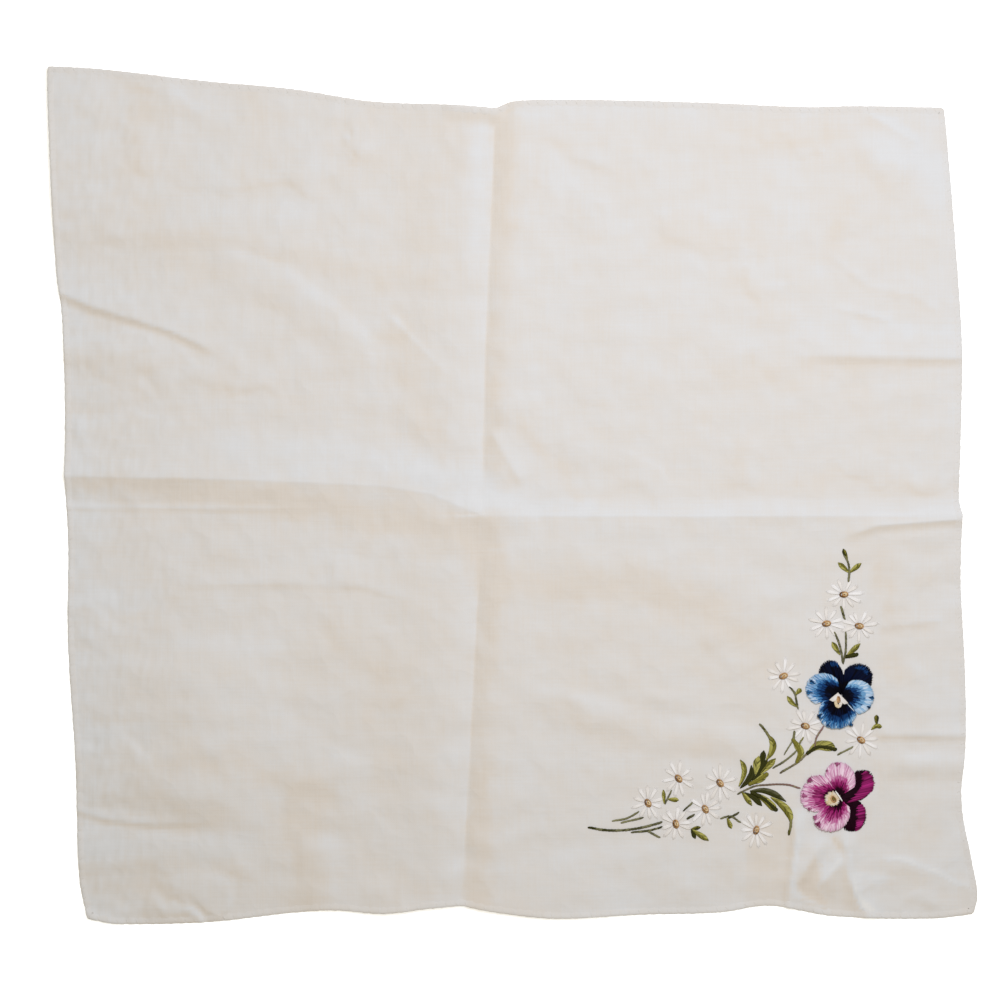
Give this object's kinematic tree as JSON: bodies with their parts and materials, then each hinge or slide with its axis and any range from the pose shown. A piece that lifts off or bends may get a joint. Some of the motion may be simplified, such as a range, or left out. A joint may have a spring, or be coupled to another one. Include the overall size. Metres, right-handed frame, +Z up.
{
  "type": "cotton handkerchief",
  "caption": "Rectangular white cotton lawn handkerchief with a rolled hem, opened out and laid flat, with quarter-fold creases and a flower spray embroidered in one corner",
  "frame": {"origin": "bottom centre of the bounding box: the middle of the cloth, at the height of the surface that it lies on", "axes": "+Z up out of the face of the cloth; +X along its longer side towards the right edge; +Y towards the back edge, away from the embroidered corner, which is at +X -Y"},
  "size_m": [0.3066, 0.283, 0.0039],
  "materials": {
    "cotton_lawn": "fine plain weave, matt, slightly sheer, washed and lightly creased"
  },
  "bodies": {
    "root": {"handkerchief": "cotton_lawn"}
  },
  "joints": []
}
